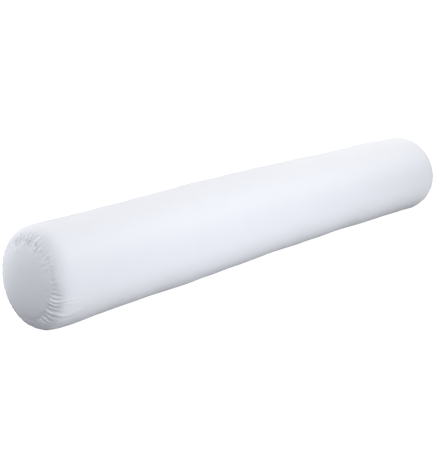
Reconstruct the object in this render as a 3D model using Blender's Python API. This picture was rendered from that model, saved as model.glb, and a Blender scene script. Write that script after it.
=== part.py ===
"""A long round bolster: a stuffed cotton tube, gathered at each end into the seam of a round
panel that the filling domes out. It lies on its side, along X, on a flat resting strip."""

import math

import bmesh
import bpy
from mathutils import Vector

# Driving sizes, in metres.
LENGTH = 1.3953  # tip to tip: the leaning ends' rims make it 1.400 over all
HALF = LENGTH / 2
RADIUS = 0.100  # section of the stuffed tube
FLAT_DEPTH = 0.004  # how far the weight flattens the underside
BOW = 0.020  # how far the middle lies to +Y of the ends
BOW_SKEW = 0.40  # moves the bow's crown towards +X
SHEET = 0.002  # thickness of an end panel
GAP = 0.0003  # clearance between two pieces
PLACED = (-0.0019, -0.0121, 0.0)  # puts the bowed, leaning form's middle over the origin

# Each end: the tube's shoulder and the panel's dome are one rounded-off form.
DOME_POWER = 2.55  # 2 would be round, more is squarer
SEAM_RADIUS = 0.072  # radius of the round seam
GROOVE = 0.0035  # how deep the seam is drawn in
GROOVE_REACH = 0.005  # how fast the drawing-in fades to each side
GATHERS = 56  # gathers round one end
PER_GATHER = 3  # a valley and a ridge with two edges
GATHER_REACH = 0.047  # how far a gather runs back over the shoulder
PUCKER_REACH = 0.016  # how far it runs into the panel
PUCKER_SHARE = 0.30  # a pucker's height against the gather's

# One end each: its dome's depth, how far its face looks up, and how far it turns to +Y.
ENDS = {
    "left": {"side": -1, "dome": 0.052, "lean": 1.5, "turn": -4.0},
    "right": {"side": 1, "dome": 0.050, "lean": 9.0, "turn": 9.0},
}

# The stuffing's unevenness: girth against RADIUS, by share of the half length from -X to +X.
GIRTHS = [
    {"share": -1.00, "girth": 0.988},
    {"share": -0.75, "girth": 0.986},
    {"share": -0.45, "girth": 1.005},
    {"share": -0.15, "girth": 1.015},
    {"share": 0.20, "girth": 1.001},
    {"share": 0.45, "girth": 0.993},
    {"share": 0.70, "girth": 1.004},
    {"share": 0.90, "girth": 1.010},
    {"share": 1.00, "girth": 0.999},
]

# Gathers are uneven round an end: ridge-to-valley height by clock angle from +Y towards +Z.
GATHER_HEIGHTS = [
    {"clock": 0, "height": 0.0026},
    {"clock": 60, "height": 0.0024},
    {"clock": 95, "height": 0.0034},
    {"clock": 135, "height": 0.0026},
    {"clock": 180, "height": 0.0020},
    {"clock": 215, "height": 0.0042},
    {"clock": 245, "height": 0.0040},
    {"clock": 290, "height": 0.0022},
    {"clock": 360, "height": 0.0026},
]

# Rings of the mesh.
ROUND = 56  # points round the plain tube
SHOULDER_STEPS = (0.005, 0.013, 0.024, 0.037)  # from the seam back over the shoulder
PANEL_STEPS = (0.006, PUCKER_REACH)  # from the seam towards the panel's middle
PANEL_RINGS = (0.036, 0.058)  # plain rings inside those, by distance from the seam
TUBE_RINGS = 17  # along the plain tube

COTTON = (0.86, 0.86, 0.88, 1.0)


def smooth(t):
    """Eases from 0 to 1 with no slope at either end."""
    t = min(max(t, 0.0), 1.0)
    return t * t * (3 - 2 * t)


def looked_up(rows, key, at, name):
    """The named column between the two rows that at lies between, eased."""
    for low, high in zip(rows, rows[1:]):
        if at <= high[key]:
            t = (at - low[key]) / (high[key] - low[key])
            return low[name] + (high[name] - low[name]) * smooth(t)
    return rows[-1][name]


def bow(share):
    """The tube's middle line, sideways."""
    return BOW * (1 - share * share) * (1 + BOW_SKEW * share)


def axes(end, x):
    """Middle of the section at x, and its ahead, side and up directions."""
    share = x / HALF
    step = 0.001
    slope = (bow(share + step) - bow(share - step)) / (2 * step * HALF)
    eased = smooth((abs(share) - 0.55) / 0.35)
    turn = math.atan(slope) + math.radians(end["turn"]) * eased
    lean = math.radians(end["lean"]) * eased * end["side"]
    ahead = Vector((math.cos(turn), math.sin(turn), math.tan(lean))).normalized()
    side = Vector((-math.sin(turn), math.cos(turn), 0))
    return Vector((x, bow(share), 0)), ahead, side, ahead.cross(side)


def dome_point(end, turned):
    """Along and out from the shoulder's start, and the outward normal, for a share of the dome."""
    angle = turned * math.pi / 2
    along = end["dome"] * math.sin(angle) ** (2 / DOME_POWER)
    out = RADIUS * math.cos(angle) ** (2 / DOME_POWER)
    rise = math.sin(angle) ** (2 - 2 / DOME_POWER) / end["dome"]
    spread = math.cos(angle) ** (2 - 2 / DOME_POWER) / RADIUS
    size = math.hypot(rise, spread)
    return along, out, rise / size, spread / size


def dome_walk(end):
    """The dome as rows of distance from the seam: positive on the tube, negative on the panel."""
    rows = []
    walked = 0.0
    for i in range(2001):
        turned = 1 - i / 2000
        along, out, rise, spread = dome_point(end, turned)
        if rows:
            walked += math.hypot(along - rows[-1]["along"], out - rows[-1]["out"])
        rows.append(
            {"walked": walked, "along": along, "out": out, "rise": rise, "spread": spread}
        )
    seam = next(row["walked"] for row in rows if row["out"] >= SEAM_RADIUS)
    for row in rows:
        row["walked"] -= seam
    return rows


def on_dome(rows, distance):
    """The row of the dome at a distance from the seam."""
    for low, high in zip(rows, rows[1:]):
        if distance <= high["walked"]:
            t = (distance - low["walked"]) / (high["walked"] - low["walked"])
            return {name: low[name] + (high[name] - low[name]) * t for name in low}
    return rows[-1]


def gather(clock, index, distance):
    """Height of the gathers' waves at a point near the seam: ridges out, valleys in."""
    reach = GATHER_REACH if distance > 0 else PUCKER_REACH
    share = 1.0 if distance > 0 else PUCKER_SHARE
    number = index // PER_GATHER
    own = 0.82 + 0.18 * math.sin(2.4 * number) * math.cos(1.1 * number)
    height = looked_up(GATHER_HEIGHTS, "clock", math.degrees(clock) % 360, "height") * own
    fade = max(0.0, 1 - abs(distance) / (reach * (0.86 + 0.14 * math.sin(1.7 * number))))
    wave = -0.6 if index % PER_GATHER == 0 else 0.4
    return height * share * wave * fade**1.2


def place(end, rows, distance, clock, index, depth):
    """A point at a distance from an end's seam, gathered if it has an index, sunk by depth."""
    row = on_dome(rows, distance)
    lift = -depth - GROOVE * math.exp(-max(0.0, abs(distance) - GAP) / GROOVE_REACH)
    if index is not None:
        lift += gather(clock, index, distance)
    start = end["side"] * (HALF - end["dome"])
    middle, ahead, side, up = axes(end, start)
    girth = looked_up(GIRTHS, "share", start / HALF, "girth")
    out = row["out"] * girth + row["spread"] * lift
    along = row["along"] + row["rise"] * lift
    point = middle + ahead * along * end["side"]
    return point + side * out * math.cos(clock) + up * out * math.sin(clock)


def clock_of(index, count):
    """Clock angle of a point on a ring. Gathers are bunched a little unevenly."""
    clock = 2 * math.pi * (index + 0.5) / count
    return clock + 0.030 * math.sin(3 * clock + 0.6) + 0.018 * math.sin(7 * clock)


def ring(bm, end, rows, distance, count, depth=0.0):
    """One ring near an end's seam, lying on the floor where it would pass through it."""
    gathered = count > ROUND
    points = []
    for i in range(count):
        clock = clock_of(i, count)
        point = place(end, rows, distance, clock, i if gathered else None, depth)
        point.z = max(point.z + RADIUS, FLAT_DEPTH) - FLAT_DEPTH
        points.append(bm.verts.new(point))
    return points


def tube_ring(bm, end, x):
    """One ring of the plain tube."""
    middle, ahead, side, up = axes(end, x)
    out = RADIUS * looked_up(GIRTHS, "share", x / HALF, "girth")
    points = []
    for i in range(ROUND):
        clock = clock_of(i, ROUND)
        point = middle + side * out * math.cos(clock) + up * out * math.sin(clock)
        point.z = max(point.z + RADIUS, FLAT_DEPTH) - FLAT_DEPTH
        points.append(bm.verts.new(point))
    return points


def join(bm, first, second):
    """Faces between two rings: squares, or a fan of three where one has three times the points."""
    if len(first) == len(second):
        for i in range(len(first)):
            j = (i + 1) % len(first)
            bm.faces.new((first[i], first[j], second[j], second[i]))
        return
    fine, coarse = (first, second) if len(first) > len(second) else (second, first)
    for i in range(len(coarse)):
        j = (i + 1) % len(coarse)
        a, b, c, d = (fine[(3 * i + k + 1) % len(fine)] for k in range(4))
        bm.faces.new((a, b, coarse[i]))
        bm.faces.new((b, c, coarse[j], coarse[i]))
        bm.faces.new((c, d, coarse[j]))


def close(bm, points, end, rows, depth):
    """Fans the last ring in to the dome's tip."""
    tip = place(end, rows, rows[0]["walked"], 0.0, None, depth)
    tip.z += RADIUS - FLAT_DEPTH
    middle = bm.verts.new(tip)
    for i in range(len(points)):
        bm.faces.new((points[i], points[(i + 1) % len(points)], middle))


def loft(bm, rings):
    """Joins each ring to the next."""
    for first, second in zip(rings, rings[1:]):
        join(bm, first, second)


def finish(name, bm, roughness):
    """Makes the object, its faces outward and shaded smooth, with its own cotton."""
    bmesh.ops.recalc_face_normals(bm, faces=bm.faces)
    for face in bm.faces:
        face.smooth = True
    mesh = bpy.data.meshes.new(name)
    bm.to_mesh(mesh)
    bm.free()
    cotton = bpy.data.materials.new(name + "_cotton")
    cotton.use_nodes = True
    shader = cotton.node_tree.nodes["Principled BSDF"]
    shader.inputs["Base Color"].default_value = COTTON
    shader.inputs["Roughness"].default_value = roughness
    shader.inputs["Metallic"].default_value = 0.0
    mesh.materials.append(cotton)
    piece = bpy.data.objects.new(name, mesh)
    piece.location = PLACED
    bpy.context.scene.collection.objects.link(piece)
    return piece


def end_rings(bm, end, rows):
    """The tube's end, from the plain floor behind the panel out over the lip and shoulder."""
    fine = GATHERS * PER_GATHER
    behind = SHEET + GAP
    distances = [-d for d in reversed(PANEL_STEPS + PANEL_RINGS)] + [GAP]
    rings = [ring(bm, end, rows, d, ROUND, behind) for d in distances]
    rings += [ring(bm, end, rows, d, fine) for d in (GAP,) + SHOULDER_STEPS]
    rings.append(ring(bm, end, rows, GATHER_REACH, ROUND))
    return rings


def filled_tube():
    """The tube with its filling: one stuffed solid with a seat for each end panel."""
    bm = bmesh.new()
    left, right = ENDS["left"], ENDS["right"]
    left_rows, right_rows = dome_walk(left), dome_walk(right)
    left_rings = end_rings(bm, left, left_rows)
    right_rings = end_rings(bm, right, right_rows)
    start = -HALF + left["dome"] + 0.008
    run = LENGTH - left["dome"] - right["dome"] - 0.016
    middle = []
    for i in range(TUBE_RINGS):
        x = start + run * i / (TUBE_RINGS - 1)
        middle.append(tube_ring(bm, left if x < 0 else right, x))
    loft(bm, left_rings + middle + right_rings[::-1])
    close(bm, left_rings[0], left, left_rows, SHEET + GAP)
    close(bm, right_rings[0], right, right_rows, SHEET + GAP)
    return finish("filled_tube", bm, 0.85)


def end_panel(name, end):
    """A round panel: a domed sheet, puckered where the tube is gathered into its seam."""
    bm = bmesh.new()
    rows = dome_walk(end)
    fine = GATHERS * PER_GATHER
    plain = [ring(bm, end, rows, -d, ROUND) for d in reversed(PANEL_RINGS)]
    puckered = [ring(bm, end, rows, -d, fine) for d in reversed((0.0,) + PANEL_STEPS)]
    inside = [0.0] + list(PANEL_STEPS + PANEL_RINGS)
    back = [ring(bm, end, rows, -d, ROUND, SHEET) for d in inside]
    loft(bm, plain + puckered + back)
    close(bm, plain[0], end, rows, 0.0)
    close(bm, back[-1], end, rows, SHEET)
    return finish(name, bm, 0.82)


for old in list(bpy.data.objects):
    bpy.data.objects.remove(old)
filled_tube()
end_panel("end_panel_left", ENDS["left"])
end_panel("end_panel_right", ENDS["right"])
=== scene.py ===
import math

import bpy
import numpy as np
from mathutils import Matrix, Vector, noise


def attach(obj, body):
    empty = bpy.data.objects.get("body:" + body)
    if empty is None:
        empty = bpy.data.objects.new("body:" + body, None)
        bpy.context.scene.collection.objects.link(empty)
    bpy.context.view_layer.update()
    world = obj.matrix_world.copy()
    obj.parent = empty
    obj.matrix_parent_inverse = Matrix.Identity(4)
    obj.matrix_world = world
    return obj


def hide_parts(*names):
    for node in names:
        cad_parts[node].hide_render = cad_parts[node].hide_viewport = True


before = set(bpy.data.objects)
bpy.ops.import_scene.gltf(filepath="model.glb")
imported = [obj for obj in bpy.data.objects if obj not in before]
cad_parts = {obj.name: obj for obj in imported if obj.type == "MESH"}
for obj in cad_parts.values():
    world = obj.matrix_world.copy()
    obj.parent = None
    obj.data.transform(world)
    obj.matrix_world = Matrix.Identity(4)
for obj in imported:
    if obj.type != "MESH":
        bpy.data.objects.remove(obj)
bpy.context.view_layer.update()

# ---------------------------------------------------------------------------------------
# The stuffed tube. One rectangle of fine white cotton is rolled round and closed with a
# plain seam that lies low at the back. It is stuffed tight with soft filling, and each end
# is eased in short gathers onto a round seam. Its own weight presses a strip of it flat.
# ---------------------------------------------------------------------------------------
half_length = 0.69765
radius = 0.100
flat_depth = 0.004
bow_depth = 0.020
bow_skew = 0.40
# Puts the middle of the bowed, leaning pillow over the frame's origin.
pillow_place = np.array([-0.0019, -0.0121, 0.0])
# How thick the stuffing makes the tube against its radius, by share of the half length.
girth_stops = np.array([-1.00, -0.75, -0.45, -0.15, 0.20, 0.45, 0.70, 0.90, 1.00])
girth_there = np.array([0.988, 0.986, 1.005, 1.015, 1.001, 0.993, 1.004, 1.010, 0.999])

# Each end: the depth of its dome, how far its face looks up and how far the tube's line turns
# there, in degrees, where the chance in its gathers starts, and how deep they are in all.
seam_radius = 0.076
left_end = {"side": -1, "dome": 0.052, "lean": 1.5, "turn": -4.0, "luck": 0.0, "deep": 1.0}
right_end = {"side": 1, "dome": 0.050, "lean": 9.0, "turn": 9.0, "luck": 1.3, "deep": 0.55}
turns_from = 0.55
turns_over = 0.35
# How square an end's outline is round the clock. 2 would be round.
square_clocks = np.radians([0, 60, 90, 140, 180, 215, 270, 315, 360])
left_end["square"] = np.array([2.45, 2.75, 2.70, 3.2, 4.0, 4.3, 2.9, 2.6, 2.45])
right_end["square"] = np.array([2.40, 2.46, 2.50, 2.4, 2.3, 2.36, 2.6, 2.5, 2.40])

# The cloth is a grid of points: a column along the tube, and a ring round it.
gathers = 56
columns_to_a_gather = 6
around = gathers * columns_to_a_gather
closing_seam_gather = 50
millimetre = 0.001
# By clock angle in degrees: height of the gathers, their reach up the shoulder and onto the
# panel, and the height of the small creases, all in millimetres. Then how alike the gathers
# are, and how full the cut is there.
by_clock = np.array(
    [
        [0, 3.0, 40, 12, 0.3, 0.5, 1.00],
        [50, 3.0, 36, 14, 0.5, 0.4, 1.00],
        [75, 3.4, 34, 15, 1.4, 0.3, 1.00],
        [110, 3.2, 32, 16, 1.5, 0.2, 1.00],
        [135, 2.6, 36, 18, 1.0, 0.0, 1.00],
        [160, 1.3, 34, 12, 1.0, 0.0, 1.00],
        [178, 2.0, 40, 9, 0.8, 0.2, 1.10],
        [191, 5.2, 72, 7, 0.6, 0.4, 1.35],
        [222, 6.8, 88, 8, 0.5, 0.4, 1.50],
        [250, 5.8, 72, 9, 0.5, 0.4, 1.35],
        [290, 3.4, 44, 12, 0.4, 0.6, 1.00],
        [360, 3.0, 40, 12, 0.3, 0.5, 1.00],
    ]
)
degrees, gather_height, shoulder_reach, panel_reach, crease_height, likeness, fullness = by_clock.T
clock_stops = np.radians(degrees)

# Rings of the cloth, closer together where it is gathered. Past the seam it turns in under
# the panel, down to the filling, which fills out the end.
shoulder = np.concatenate(
    [
        np.linspace(0.0, 0.012, 10, endpoint=False),
        np.linspace(0.012, 0.030, 10, endpoint=False),
        np.linspace(0.030, 0.048, 7),
    ]
)
turned_in = np.array([-0.0004, -0.0015, -0.004, -0.008, -0.014, -0.024, -0.038, -0.055, -0.072])
turned_in_depth = np.array([0.0006, 0.0020, 0.0030, 0.0034, 0.0036, 0.0036, 0.0036, 0.0036, 0.0036])
end_rings = np.append(turned_in[::-1], shoulder)
end_sunk = np.append(turned_in_depth[::-1], np.zeros(len(shoulder)))
rings_to_an_end = len(end_rings)

# The plain tube starts a little past each dome, a gap over the cloth from the shoulder's last
# ring, and its own rings are closer together there.
past_dome = 0.004
shoulder_gap = 0.006
plain_from = -half_length + left_end["dome"] + past_dome
plain_to = half_length - right_end["dome"] - past_dome
close_rings = np.array([0, 0.003, 0.006, 0.010, 0.014, 0.019, 0.025, 0.032])
even_from = 0.040
even_rings = 118
places = np.concatenate(
    [
        plain_from + close_rings,
        np.linspace(plain_from + even_from, plain_to - even_from, even_rings),
        plain_to - close_rings[::-1],
    ]
)
rings = 2 * rings_to_an_end + len(places)


def eased(share):
    """Goes from 0 to 1 with no slope at either end."""
    share = np.clip(share, 0.0, 1.0)
    return share * share * (3 - 2 * share)


def looked_up(at, stops, there):
    """The value between the two stops that at lies between, eased."""
    low = np.clip(np.searchsorted(stops, at) - 1, 0, len(stops) - 2)
    share = (at - stops[low]) / (stops[low + 1] - stops[low])
    return there[low] + (there[low + 1] - there[low]) * eased(share)


def bow(share):
    """How far the middle line lies to +Y, by share of the half length."""
    return bow_depth * (1 - share * share) * (1 + bow_skew * share)


def section_at(x, end):
    """Middle of the tube's section at x, with its ahead, side and up directions."""
    share = x / half_length
    step = 0.001
    slope = (bow(share + step) - bow(share - step)) / (2 * step * half_length)
    into = float(eased((abs(share) - turns_from) / turns_over))
    turn = math.atan(slope) + math.radians(end["turn"]) * into
    lean = math.radians(end["lean"]) * into * end["side"]
    ahead = Vector((math.cos(turn), math.sin(turn), math.tan(lean))).normalized()
    side = Vector((-math.sin(turn), math.cos(turn), 0))
    middle = Vector((x, bow(share), radius - flat_depth))
    return np.array(middle), np.array(ahead), np.array(side), np.array(ahead.cross(side))


outline_walk = np.linspace(-0.080, 0.080, 1601)
outline_powers = np.linspace(2.1, 4.6, 12)
outline_steps = 4001


def end_outline(end, power):
    """The round end's outline for one squareness, by distance over the cloth from the seam:
    along the tube, out from its middle, and the way that the cloth faces. Then how far the
    tip is from the seam."""
    angle = np.linspace(math.pi / 2, 0, outline_steps)
    along = end["dome"] * np.sin(angle) ** (2 / power)
    out = radius * np.cos(angle) ** (2 / power)
    walked = np.append(0, np.cumsum(np.hypot(np.diff(along), np.diff(out))))
    tip = np.interp(seam_radius, out, walked)
    rise = np.sin(angle) ** (2 - 2 / power) / end["dome"]
    spread = np.cos(angle) ** (2 - 2 / power) / radius
    size = np.hypot(rise, spread)
    straight = 0.05
    walked = np.append(walked, walked[-1] + straight) - tip
    along = np.append(along, -straight)
    out = np.append(out, radius)
    faces = np.append(rise / size, 0.0), np.append(spread / size, 1.0)
    rows = [np.interp(outline_walk, walked, values) for values in (along, out, *faces)]
    return np.array(rows), tip


def square_power(end, clock):
    return looked_up(clock % (2 * math.pi), square_clocks, end["square"])


def rounded_end(end, from_seam, clock):
    """The round end at distances from its seam over the cloth. The shoulder's are positive
    and the panel's negative. How square it is changes round the clock."""
    outlines = np.array([end_outline(end, power)[0] for power in outline_powers])
    at_power = np.interp(square_power(end, clock), outline_powers, np.arange(len(outline_powers)))
    at_walk = np.interp(from_seam, outline_walk, np.arange(len(outline_walk)))
    power_below = np.minimum(at_power.astype(int), len(outline_powers) - 2)
    walk_below = np.minimum(at_walk.astype(int), len(outline_walk) - 2)
    past_power = (at_power - power_below)[:, None]
    past_walk = (at_walk - walk_below)[:, None]
    rounder = outlines[power_below, :, walk_below] * (1 - past_walk)
    rounder = rounder + outlines[power_below, :, walk_below + 1] * past_walk
    squarer = outlines[power_below + 1, :, walk_below] * (1 - past_walk)
    squarer = squarer + outlines[power_below + 1, :, walk_below + 1] * past_walk
    along, out, rise, spread = (rounder * (1 - past_power) + squarer * past_power).T
    start = end["side"] * (half_length - end["dome"])
    middle, ahead, side, up = section_at(start, end)
    outward = ahead * end["side"]
    girth = looked_up(start / half_length, girth_stops, girth_there)
    each = np.ones(len(from_seam))[:, None]
    return {
        "middle": middle + outward * along[:, None],
        "outward": outward * each,
        "side": side * each,
        "up": up * each,
        "out": out * girth,
        "rise": rise,
        "spread": spread,
        "from_seam": from_seam,
        "luck": np.full(len(from_seam), end["luck"]),
        "deep": np.full(len(from_seam), end["deep"]),
    }


def distance_to_tip(end, clock):
    """How far the tip is from the seam over the cloth."""
    tips = [end_outline(end, power)[1] for power in outline_powers]
    return np.interp(square_power(end, clock), outline_powers, tips)


def plain_tube(places):
    """The tube between its round ends, at places along X."""
    rows = [section_at(x, left_end if x < 0 else right_end) for x in places]
    end_gap = np.minimum(places - places[0], places[-1] - places)
    return {
        "middle": np.array([row[0] for row in rows]),
        "outward": np.array([row[1] * np.sign(x) for row, x in zip(rows, places)]),
        "side": np.array([row[2] for row in rows]),
        "up": np.array([row[3] for row in rows]),
        "out": radius * looked_up(places / half_length, girth_stops, girth_there),
        "rise": np.zeros(len(places)),
        "spread": np.ones(len(places)),
        "from_seam": shoulder[-1] + shoulder_gap + end_gap,
        "luck": np.where(places < 0, left_end["luck"], right_end["luck"]),
        "deep": np.where(places < 0, left_end["deep"], right_end["deep"]),
    }


columns_past_back = 1.5
# The gathers bunch unevenly: waves round the clock, their shift in radians and their start.
wide_bunching = (3, 0.030, 0.6)
close_bunching = (7, 0.018, 3.93)
fine_bunching = (17, 0.010, 1.0)


def bunched(clock, waves, shift, start):
    return shift * np.sin(waves * clock + start)


def clock_of(column):
    """Clock angle from +Y towards +Z of a column of the cloth."""
    clock = 2 * math.pi * (column + columns_past_back) / around
    clock = clock + bunched(clock, *wide_bunching) + bunched(clock, *close_bunching)
    return clock + bunched(clock, *fine_bunching)


def at_clock(values, clock):
    """A column of the table by clock angle, looked up at any clock angle."""
    return looked_up(clock % (2 * math.pi), clock_stops, values)


def deepened(values, clock, deep):
    """The gathers' height or the cut's fullness. A less deep end has it evener all round."""
    least = values.min()
    return least + (at_clock(values, clock) - least) * deep


# The gathers sag low at the front, in radians of the clock, and wander by a few columns.
sag_clock = math.radians(228)
sag_spread = 1.0
gather_sag = 0.13
sags_over = 0.045
wander_columns = 2.0
wanders_over = 0.025
# Waves round the clock, radians to a metre from the seam, and share of the wandering.
wander_waves = ((9, 70, 1.0), (16, -110, 0.7))
# Some gathers are lower and some stop shorter. The sewing presses them near the seam.
height_toss = (12.9898, 78.233, 43758.5453)
length_toss = (39.346, 11.135, 24634.6345)
shorter_on_panel = 0.60
shorter_on_shoulder = 0.50
ridge_roundness = 1.25
fading = 1.2
valley_depth = 0.72
uneven_valley = 0.6
pressed_height = 0.70
pressed_reach = 0.007


def tossed(number, luck, by_number, by_luck, size):
    """A number from 0 to 1 for each gather, uneven and the same on every run."""
    return np.sin(number * by_number + luck * by_luck) * size % 1.0


def gather_wave(column, form):
    """How far the gathers lift the cloth: round ridges with creased valleys between. They
    run well up the shoulder and only a little way onto the panel."""
    clock, from_seam, luck = clock_of(column), form["from_seam"], form["luck"]
    low_front = np.cos(np.clip((clock - sag_clock) / sag_spread, -1.0, 1.0) * math.pi / 2)
    sag = gather_sag * low_front * eased(from_seam / sags_over) * around / (2 * math.pi)
    wander = 0.0
    for waves, slant, share in wander_waves:
        wander = wander + share * np.sin(waves * clock + slant * from_seam)
    sag = sag + wander_columns * eased(from_seam / wanders_over) * wander
    number = np.floor((column + sag) / columns_to_a_gather)
    phase = ((column + sag) / columns_to_a_gather) % 1.0
    on_panel = from_seam < 0
    shorter = np.where(on_panel, shorter_on_panel, shorter_on_shoulder)
    shorter = shorter * (1 - tossed(number, luck, *length_toss))
    reach = np.where(on_panel, at_clock(panel_reach, clock), at_clock(shoulder_reach, clock))
    near = np.abs(from_seam) / (millimetre * reach)
    alike = at_clock(likeness, clock)
    ridge = np.abs(np.sin(math.pi * phase)) ** ridge_roundness
    ridge = ridge * (alike + (1 - alike) * tossed(number, luck, *height_toss))
    ridge = ridge * np.clip(1 - near / (1 - shorter), 0, 1) ** fading
    valley = valley_depth * np.clip(1 - near, 0, 1) ** fading
    valley = valley * (uneven_valley + (1 - uneven_valley) * alike)
    height = millimetre * deepened(gather_height, clock, form["deep"])
    pressed = pressed_height + (1 - pressed_height) * eased(from_seam / pressed_reach)
    return height * pressed * (ridge - valley)


groove_depth = 0.0003
groove_reach = 0.0040


def drawn_in(column, form):
    """Lift of the cloth off the plain form near a seam: its groove and the gathers."""
    groove = -groove_depth * np.exp(-np.abs(form["from_seam"]) / groove_reach)
    return groove + gather_wave(column, form)


# Lumps of the stuffing: turns round the clock, waves to a metre, lift in metres, start.
stuffing_lumps = np.array(
    [
        [1, 1.7, 0.00050, 0.4],
        [2, -2.6, 0.00045, 1.9],
        [3, 4.3, 0.00035, 3.1],
        [2, 7.1, 0.00025, 0.9],
        [5, -5.7, 0.00020, 2.2],
        [4, 11.9, 0.00014, 5.0],
        [7, 9.3, 0.00010, 1.2],
    ]
)


def uneven_stuffing(points, clock):
    """Slight lumps where the filling has packed closer, with no break round the tube."""
    lift = np.zeros(len(clock))
    for turns, waves, height, start in stuffing_lumps:
        lift += height * np.sin(turns * clock + 2 * math.pi * waves * points[:, 0] + start)
    return lift


crumple_size = 0.010
crumple_reach = 0.017
least_crease = 0.00002
wide_billow = 1.6
close_billow = 0.8
closer = 2.1
sunk_between = 0.5


def crumpled(points, from_seam, clock):
    """Small crossing creases on both sides of a seam, with the cloth round between them."""
    reach = np.exp(-((from_seam / crumple_reach) ** 2))
    height = millimetre * at_clock(crease_height, clock) * reach
    lift = np.zeros(len(clock))
    for i in np.nonzero(height > least_crease)[0]:
        here = Vector(points[i]) / crumple_size
        billow = wide_billow * abs(noise.noise(here))
        billow = billow + close_billow * abs(noise.noise(here * closer)) - sunk_between
        lift[i] = height[i] * billow
    return lift


def laid_on_floor(points):
    """Lays on the floor what would pass through it, with a soft edge to the strip."""
    edge = 0.0012
    z = points[:, 2]
    eased_z = np.where(z < edge, np.maximum(z + edge, 0) ** 2 / (4 * edge), z)
    points[:, 2] = np.maximum(eased_z, 0.0)
    return points


def cloth_points(form, column, lift):
    """Where the cloth's points lie, lifted off the plain form by lift."""
    clock = clock_of(column)
    lift = lift + form["spread"] * uneven_stuffing(form["middle"], clock)
    round_about = np.stack([np.cos(clock), np.sin(clock)], axis=1) * form["out"][:, None]
    near = np.concatenate([form["middle"][:, :1], round_about], axis=1)
    lift = lift + crumpled(near, form["from_seam"], clock)
    out = form["out"] + form["spread"] * lift
    points = form["middle"] + form["outward"] * (form["rise"] * lift)[:, None]
    points = points + form["side"] * (out * np.cos(clock))[:, None]
    points = points + form["up"] * (out * np.sin(clock))[:, None]
    return laid_on_floor(points + pillow_place)


def rolled_cloth(name, rings, column_at_edge):
    """A grid of cloth, a row to a ring, to be rolled round and joined along its edges."""
    bpy.ops.object.select_all(action="DESELECT")
    bpy.ops.mesh.primitive_grid_add(
        x_subdivisions=rings - 1, y_subdivisions=around, size=1
    )
    cloth = bpy.context.active_object
    cloth.name = name
    flat = np.empty(len(cloth.data.vertices) * 3)
    cloth.data.vertices.foreach_get("co", flat)
    flat = flat.reshape(-1, 3)
    row = np.rint((flat[:, 0] + 0.5) * (rings - 1)).astype(int)
    cut_column = np.rint((flat[:, 1] + 0.5) * around).astype(int)
    return cloth, row, (cut_column + column_at_edge) % around, cut_column


settling_steps = 14
most_settling = 0.003


def settled_cloth(cloth, points, cut, stitched, pressure):
    """How the cloth moves as it settles from its gathered shape, with the cut's size at
    rest. The stitched points stay, the filling presses on it, and no point moves far."""
    mesh = cloth.data
    bpy.ops.object.select_all(action="DESELECT")
    cloth.select_set(True)
    bpy.context.view_layer.objects.active = cloth
    mesh.vertices.foreach_set("co", points.ravel())
    cloth.shape_key_add(name="gathered")
    flat = cloth.shape_key_add(name="as_cut")
    flat.data.foreach_set("co", cut.ravel())
    held = cloth.vertex_groups.new(name="stitched")
    held.add([int(i) for i in np.nonzero(stitched)[0]], 1.0, "REPLACE")
    swell = cloth.modifiers.new("swell", "CLOTH")
    made = swell.settings
    made.quality = 8
    made.mass = 0.0003
    made.tension_stiffness = 5
    made.compression_stiffness = 5
    made.shear_stiffness = 2
    made.bending_stiffness = 0.008
    made.rest_shape_key = flat
    made.vertex_group_mass = held.name
    made.use_pressure = True
    made.uniform_pressure_force = pressure
    made.effector_weights.gravity = 0
    swell.collision_settings.use_collision = False
    for step in range(1, settling_steps + 1):
        bpy.context.scene.frame_set(step)
    shown = cloth.evaluated_get(bpy.context.evaluated_depsgraph_get())
    settled = np.empty(len(mesh.vertices) * 3)
    shown.data.vertices.foreach_get("co", settled)
    moved = settled.reshape(-1, 3) - points
    far = np.linalg.norm(moved, axis=1)[:, None]
    moved = moved * np.minimum(1, most_settling / np.maximum(far, 1e-9))
    cloth.modifiers.remove(swell)
    cloth.shape_key_clear()
    bpy.context.scene.frame_set(1)
    return moved


cuff_pressure = 7.0
smooth_passes = 2
smooth_share = 0.5


def settled_cuff(end):
    """How an end's cuff moves as it settles, by ring from the seam and by column. Low at the
    front its cut is fuller than the shoulder that it covers, so it folds there."""
    cuff, cuff_row, cuff_column, cut_column = rolled_cloth("cuff", len(shoulder), 0)
    cuff_form = rounded_end(end, shoulder[cuff_row], clock_of(cuff_column))
    cuff_points = cloth_points(cuff_form, cuff_column, drawn_in(cuff_column, cuff_form))
    full = deepened(fullness, clock_of(np.arange(around) + 0.5), end["deep"])
    full = np.append(0, np.cumsum(full))
    eased_in = 1 - eased(shoulder[cuff_row] / shoulder[-1])
    width = cut_column + (full[cut_column] - cut_column) * eased_in
    width = 2 * math.pi * width / around
    cut = np.zeros((len(width), 3))
    cut[:, 0] = -end["side"] * shoulder[cuff_row]
    cut[:, 1] = radius * width
    stitched = (cuff_row == 0) | (cuff_row == len(shoulder) - 1)
    stitched |= (cut_column == 0) | (cut_column == around)
    if end is left_end:
        cuff.data.flip_normals()
    moved = settled_cloth(cuff, cuff_points, cut, stitched, cuff_pressure)
    bpy.data.objects.remove(cuff)
    gathered = np.zeros((len(shoulder), around, 3))
    gathered[cuff_row, cuff_column] = cuff_points
    settled = np.zeros((len(shoulder), around, 3))
    settled[cuff_row, cuff_column] = cuff_points + moved
    for _ in range(smooth_passes):
        beside = np.roll(settled, 1, axis=1) + np.roll(settled, -1, axis=1)
        beside = (beside[1:-1] + settled[:-2] + settled[2:]) / 4
        settled[1:-1] += smooth_share * (beside - settled[1:-1])
    return settled - gathered


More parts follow.
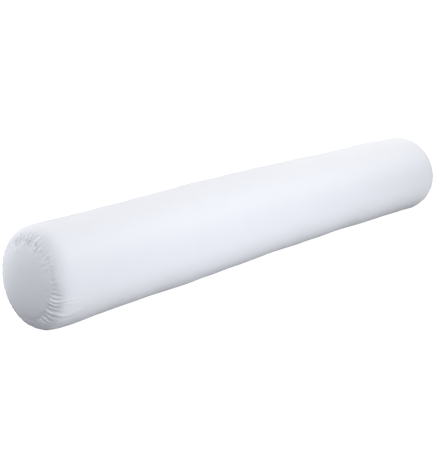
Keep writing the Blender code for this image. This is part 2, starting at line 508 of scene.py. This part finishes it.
tube, row, column, cut_column = rolled_cloth(
    "filled_tube_cover", rings, closing_seam_gather * columns_to_a_gather
)
clock = clock_of(column)
from_right = rings - 1 - row
at_left = row < rings_to_an_end
at_right = from_right < rings_to_an_end
plain = ~at_left & ~at_right
left_form = rounded_end(left_end, end_rings[row[at_left]], clock[at_left])
right_form = rounded_end(right_end, end_rings[from_right[at_right]], clock[at_right])
plain_form = plain_tube(places)
form = {}
for name, values in left_form.items():
    form[name] = np.zeros((len(row), *values.shape[1:]))
    form[name][at_left] = values
    form[name][at_right] = right_form[name]
    form[name][plain] = plain_form[name][row[plain] - rings_to_an_end]
sunk = np.zeros(len(row))
sunk[at_left] = end_sunk[row[at_left]]
sunk[at_right] = end_sunk[from_right[at_right]]
points = cloth_points(form, column, drawn_in(column, form) - sunk)

for end, ring in ((left_end, row), (right_end, from_right)):
    moved = settled_cuff(end)
    from_seam_ring = ring - len(turned_in)
    mine = (from_seam_ring >= 0) & (from_seam_ring < len(shoulder))
    points[mine] += moved[from_seam_ring[mine], column[mine]]
points[:, 2] = np.maximum(points[:, 2], 0.0)
tube.data.vertices.foreach_set("co", points.ravel())

# The cloth's own measure in metres, along and across its cut, is kept for its weave.
end_walk = end_rings - end_rings[-1]
cut_along = np.concatenate(
    [
        plain_from - shoulder_gap + end_walk,
        places,
        plain_to + shoulder_gap - end_walk[::-1],
    ]
)
cut_across = 2 * math.pi * radius / around
corners = np.empty(len(tube.data.loops), dtype=int)
tube.data.loops.foreach_get("vertex_index", corners)
measure = np.stack([cut_along[row], cut_column * cut_across], axis=1)[corners]
tube.data.uv_layers[0].name = "cut_metres"
tube.data.uv_layers[0].data.foreach_set("uv", measure.ravel())

joined_within = 0.000002
bpy.ops.object.select_all(action="DESELECT")
tube.select_set(True)
bpy.context.view_layer.objects.active = tube
bpy.ops.object.mode_set(mode="EDIT")
bpy.ops.mesh.select_all(action="SELECT")
bpy.ops.mesh.remove_doubles(threshold=joined_within)
bpy.ops.mesh.select_all(action="DESELECT")
bpy.ops.mesh.select_non_manifold()
bpy.ops.mesh.edge_face_add()
bpy.ops.mesh.select_all(action="SELECT")
bpy.ops.mesh.normals_make_consistent(inside=False)
bpy.ops.object.mode_set(mode="OBJECT")
bpy.ops.object.shade_smooth()


def plain_woven_cotton(name):
    """Bleached plain-weave cotton, close and matt, with slubs in its threads and a soft
    crumple. Its weave runs by the cloth's own measure."""
    thread = 0.00055
    shaded_white = (0.815, 0.825, 0.850, 1)
    bright_white = (0.865, 0.873, 0.895, 1)
    patches_in_tone, slubs_in_tone = 0.55, 0.25
    smoothest, slubs_in_roughness = 0.78, 0.10

    cloth = bpy.data.materials.new(name)
    cloth.use_nodes = True
    nodes, links = cloth.node_tree.nodes, cloth.node_tree.links
    shader = nodes["Principled BSDF"]
    shader.inputs["Specular IOR Level"].default_value = 0.20
    shader.inputs["Sheen Weight"].default_value = 0.10
    shader.inputs["Sheen Roughness"].default_value = 0.60

    def node(kind, **settings):
        made = nodes.new("ShaderNode" + kind)
        for setting, value in settings.items():
            setattr(made, setting, value)
        return made

    def reckon(operation, first, second):
        made = node("Math", operation=operation)
        for socket, value in zip(made.inputs, (first, second)):
            if isinstance(value, (int, float)):
                socket.default_value = value
            else:
                links.new(value, socket)
        return made.outputs[0]

    def mottle(coordinates, scale, detail, stretch=(1, 1, 1)):
        stretched = node("Mapping")
        stretched.inputs["Scale"].default_value = stretch
        links.new(coordinates, stretched.inputs["Vector"])
        noise_map = node("TexNoise")
        noise_map.inputs["Scale"].default_value = scale
        noise_map.inputs["Detail"].default_value = detail
        links.new(stretched.outputs[0], noise_map.inputs["Vector"])
        return noise_map.outputs["Fac"]

    cut = node("UVMap", uv_map="cut_metres").outputs["UV"]
    split = node("SeparateXYZ")
    links.new(cut, split.inputs[0])
    over = reckon("SINE", reckon("MULTIPLY", split.outputs[0], math.pi / thread), 0)
    under = reckon("SINE", reckon("MULTIPLY", split.outputs[1], math.pi / thread), 0)
    weave = reckon("MULTIPLY", over, under)
    place = node("TexCoord").outputs["Object"]
    warp_slubs = mottle(cut, scale=1.0, detail=2.0, stretch=(40, 1500, 1))
    weft_slubs = mottle(cut, scale=1.0, detail=2.0, stretch=(1500, 40, 1))
    slubs = reckon("ADD", warp_slubs, weft_slubs)
    crumple = mottle(place, scale=38.0, detail=4.0)
    soft_lumps = mottle(place, scale=11.0, detail=2.0)
    patches = mottle(place, scale=5.0, detail=3.0)

    tone = node("Mix", data_type="RGBA")
    tone.inputs["A"].default_value = shaded_white
    tone.inputs["B"].default_value = bright_white
    patchy = reckon("MULTIPLY", patches, patches_in_tone)
    slubbed = reckon("MULTIPLY", slubs, slubs_in_tone)
    links.new(reckon("ADD", patchy, slubbed), tone.inputs["Factor"])
    links.new(tone.outputs["Result"], shader.inputs["Base Color"])
    rougher = reckon("MULTIPLY", slubs, slubs_in_roughness)
    links.new(reckon("ADD", rougher, smoothest), shader.inputs["Roughness"])

    relief = None
    for height, distance, strength in (
        (soft_lumps, 0.0016, 0.5),
        (crumple, 0.0005, 0.5),
        (slubs, 0.00007, 0.6),
        (weave, 0.00003, 0.6),
    ):
        bump = node("Bump")
        bump.inputs["Distance"].default_value = distance
        bump.inputs["Strength"].default_value = strength
        links.new(height, bump.inputs["Height"])
        if relief:
            links.new(relief, bump.inputs["Normal"])
        relief = bump.outputs["Normal"]
    links.new(relief, shader.inputs["Normal"])
    return cloth


white = plain_woven_cotton("white_cotton")
tube.data.materials.append(white)
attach(tube, "root")
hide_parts("filled_tube")

# ---------------------------------------------------------------------------------------
# The two end panels. Each is a round of the same cotton, sewn into the tube's gathered
# edge and domed by the filling behind it. Its rim puckers in line with the gathers.
# ---------------------------------------------------------------------------------------
cloth_thickness = 0.0012
panel_crown = 0.0055
crown_roundness = 1.5
rim_tuck = 0.00015
rim_tuck_reach = 0.0014
rim_rings = np.array(
    [
        -0.030, -0.026, -0.022, -0.019, -0.016, -0.0135, -0.011, -0.009,
        -0.0072, -0.0056, -0.0042, -0.0030, -0.0020, -0.0012, -0.0006, -0.0002,
    ]
)
# The middle of a panel is plain: its grid is evened out while it is flat, and its dome is
# evened out once it has settled.
flat_evened_from = 0.020
flat_evened_over = 0.006
dome_evened_from = 0.018
dome_evened_over = 0.012
even_passes = 60
even_share = 0.5
stitched_within = 0.0025
panel_slack = 1.004
panel_pressure = 10.0
clocks_measured = 72


def cut_radius(end):
    """Radius of a panel as it is cut: its mean distance over the dome from tip to seam."""
    clocks = np.linspace(0, 2 * math.pi, clocks_measured)
    return float(np.mean(distance_to_tip(end, clocks)))


def evened_out(mesh, values, share):
    """Evens values over the mesh, in full where share is 1 and not at all where it is 0."""
    ends = np.empty(len(mesh.edges) * 2, dtype=int)
    mesh.edges.foreach_get("vertices", ends)
    one, other = ends.reshape(-1, 2).T
    joins = np.bincount(ends, minlength=len(values))[:, None]
    for _ in range(even_passes):
        beside = np.zeros(values.shape)
        np.add.at(beside, one, values[other])
        np.add.at(beside, other, values[one])
        values = values + even_share * share[:, None] * (beside / joins - values)
    return values


def end_panel(name, end):
    """A panel with rings near its rim and a grid over its middle. Its rim has a point for
    each column of the tube, so that its puckers meet the tube's gathers."""
    to_tip = cut_radius(end)
    bpy.ops.object.select_all(action="DESELECT")
    bpy.ops.mesh.primitive_circle_add(
        vertices=around, radius=to_tip + rim_rings[0], fill_type="NOTHING"
    )
    panel = bpy.context.active_object
    panel.name = name
    bpy.ops.object.mode_set(mode="EDIT")
    bpy.ops.mesh.select_all(action="SELECT")
    bpy.ops.mesh.fill_grid(span=around // 4)
    bpy.ops.mesh.select_all(action="SELECT")
    bpy.ops.mesh.region_to_loop()
    for inner, outer in zip(rim_rings, rim_rings[1:]):
        wider = (to_tip + outer) / (to_tip + inner)
        bpy.ops.mesh.extrude_region_move()
        bpy.ops.transform.resize(value=(wider, wider, 1))
    bpy.ops.object.mode_set(mode="OBJECT")
    mesh = panel.data
    flat = np.empty(len(mesh.vertices) * 3)
    mesh.vertices.foreach_get("co", flat)
    flat = flat.reshape(-1, 3)
    from_rim = to_tip - np.hypot(flat[:, 0], flat[:, 1])
    flat = evened_out(mesh, flat, eased((from_rim - flat_evened_from) / flat_evened_over))
    column = (np.arctan2(flat[:, 1], flat[:, 0]) / (2 * math.pi) % 1.0) * around
    clock = clock_of(column)
    share = np.hypot(flat[:, 0], flat[:, 1]) / to_tip
    from_seam = (share - 1) * distance_to_tip(end, clock)
    form = rounded_end(end, from_seam, clock)
    tuck = rim_tuck * np.clip(1 + from_seam / rim_tuck_reach, 0, 1) ** 2
    points = cloth_points(form, column, drawn_in(column, form) - tuck)
    crown = panel_crown * np.clip(1 - share**2, 0, 1) ** crown_roundness
    points[:, 0] += end["side"] * crown
    if end is left_end:
        mesh.flip_normals()
    stitched = from_seam > -stitched_within
    moved = settled_cloth(panel, points, points * panel_slack, stitched, panel_pressure)
    in_dome = eased((-from_seam - dome_evened_from) / dome_evened_over)
    points = points + evened_out(mesh, moved, in_dome)
    mesh.vertices.foreach_set("co", points.ravel())
    mesh.update()
    corners = np.empty(len(mesh.loops), dtype=int)
    mesh.loops.foreach_get("vertex_index", corners)
    mesh.uv_layers[0].name = "cut_metres"
    mesh.uv_layers[0].data.foreach_set("uv", flat[corners][:, :2].ravel())
    wall = panel.modifiers.new("cloth_thickness", "SOLIDIFY")
    wall.thickness = cloth_thickness
    wall.offset = -1
    bpy.ops.object.modifier_apply(modifier=wall.name)
    bpy.ops.object.shade_smooth()
    panel.data.materials.append(white)
    return panel


for name, node, end in (
    ("left_panel_cloth", "end_panel_left", left_end),
    ("right_panel_cloth", "end_panel_right", right_end),
):
    panel = end_panel(name, end)
    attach(panel, "root")
    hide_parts(node)

# ---------------------------------------------------------------------------------------
# The studio. A white sweep and backdrop that only the camera sees lie over a mid grey
# board, and broad soft lamps stand low in front, overhead, behind and off the left end.
# ---------------------------------------------------------------------------------------
floor_size = 120
backdrop_radius = 50
board_below = 0.002


def studio_paint(piece, grey, glow):
    paint = bpy.data.materials.new(piece.name + "_paint")
    paint.use_nodes = True
    shader = paint.node_tree.nodes["Principled BSDF"]
    shader.inputs["Base Color"].default_value = (grey, grey, grey, 1)
    shader.inputs["Roughness"].default_value = 1.0
    shader.inputs["Specular IOR Level"].default_value = 0.0
    shader.inputs["Emission Color"].default_value = (1, 1, 1, 1)
    shader.inputs["Emission Strength"].default_value = glow
    piece.data.materials.append(paint)


def only_camera_sees(piece):
    piece.visible_diffuse = False
    piece.visible_glossy = False
    piece.visible_shadow = False


bpy.ops.object.select_all(action="DESELECT")
bpy.ops.mesh.primitive_plane_add(size=floor_size)
sweep = bpy.context.active_object
sweep.name = "white_sweep"
studio_paint(sweep, grey=0.40, glow=1.0)
only_camera_sees(sweep)

bpy.ops.object.select_all(action="DESELECT")
bpy.ops.mesh.primitive_uv_sphere_add(segments=48, ring_count=24, radius=backdrop_radius)
backdrop = bpy.context.active_object
backdrop.name = "white_backdrop"
studio_paint(backdrop, grey=0.40, glow=1.0)
only_camera_sees(backdrop)

bpy.ops.object.select_all(action="DESELECT")
bpy.ops.mesh.primitive_plane_add(size=floor_size)
board = bpy.context.active_object
board.name = "grey_board"
board.location.z = -board_below
studio_paint(board, grey=0.35, glow=0.0)
board.visible_camera = False

scene = bpy.context.scene
scene.view_settings.view_transform = "Standard"
scene.world = bpy.data.worlds.new("studio_air")
scene.world.use_nodes = True
air = scene.world.node_tree.nodes["Background"]
air.inputs["Color"].default_value = (0.85, 0.90, 1.0, 1)
air.inputs["Strength"].default_value = 0.01


def soft_box(name, place, power, colour):
    """A round soft box a metre across, turned to the pillow. Its power is in watts."""
    bpy.ops.object.light_add(type="AREA", location=place)
    box = bpy.context.active_object
    box.name = name
    aim = Vector((place[0] / 2, 0, radius)) - Vector(place)
    box.rotation_euler = aim.to_track_quat("-Z", "Y").to_euler()
    box.data.shape = "DISK"
    box.data.size = 1.0
    box.data.energy = power
    box.data.color = colour
    box.visible_camera = False


def far_lamp(name, height, round_from_x, strength, colour):
    """A broad soft lamp far off, at a height and an angle round from +X in degrees."""
    bpy.ops.object.light_add(type="SUN", location=(0, 0, 3))
    lamp = bpy.context.active_object
    lamp.name = name
    lamp.rotation_euler = (0, math.radians(90 - height), math.radians(round_from_x))
    lamp.data.energy = strength
    lamp.data.color = colour
    lamp.data.angle = math.radians(40)


clear_light = (1.0, 1.0, 0.975)
white_light = (0.98, 0.99, 1.0)
cool_light = (0.93, 0.945, 1.0)
blue_light = (0.86, 0.875, 1.0)
soft_box("overhead_right_box", (1.2, 0.3, 2.0), 24.3, clear_light)
soft_box("overhead_left_box", (-1.6, 0.3, 2.0), 20.0, white_light)
soft_box("low_front_left_box", (-0.4, -1.7, 0.35), 20.5, cool_light)
soft_box("low_front_right_box", (0.4, -1.4, 0.15), 8.4, cool_light)
far_lamp("back_lamp", 26, 90, 1.80, white_light)
far_lamp("back_left_lamp", 10, 145, 0.36, blue_light)
far_lamp("left_end_lamp", 10, 180, 0.66, blue_light)

camera_place = (-1.9458, -1.4634, 0.6543)
camera_tilt = math.radians(76.0548)
camera_turn = math.radians(-51.1350)
bpy.ops.object.camera_add(location=camera_place, rotation=(camera_tilt, 0, camera_turn))
camera = bpy.context.active_object
camera.data.sensor_width = 36
camera.data.lens = 83.78
scene.camera = camera
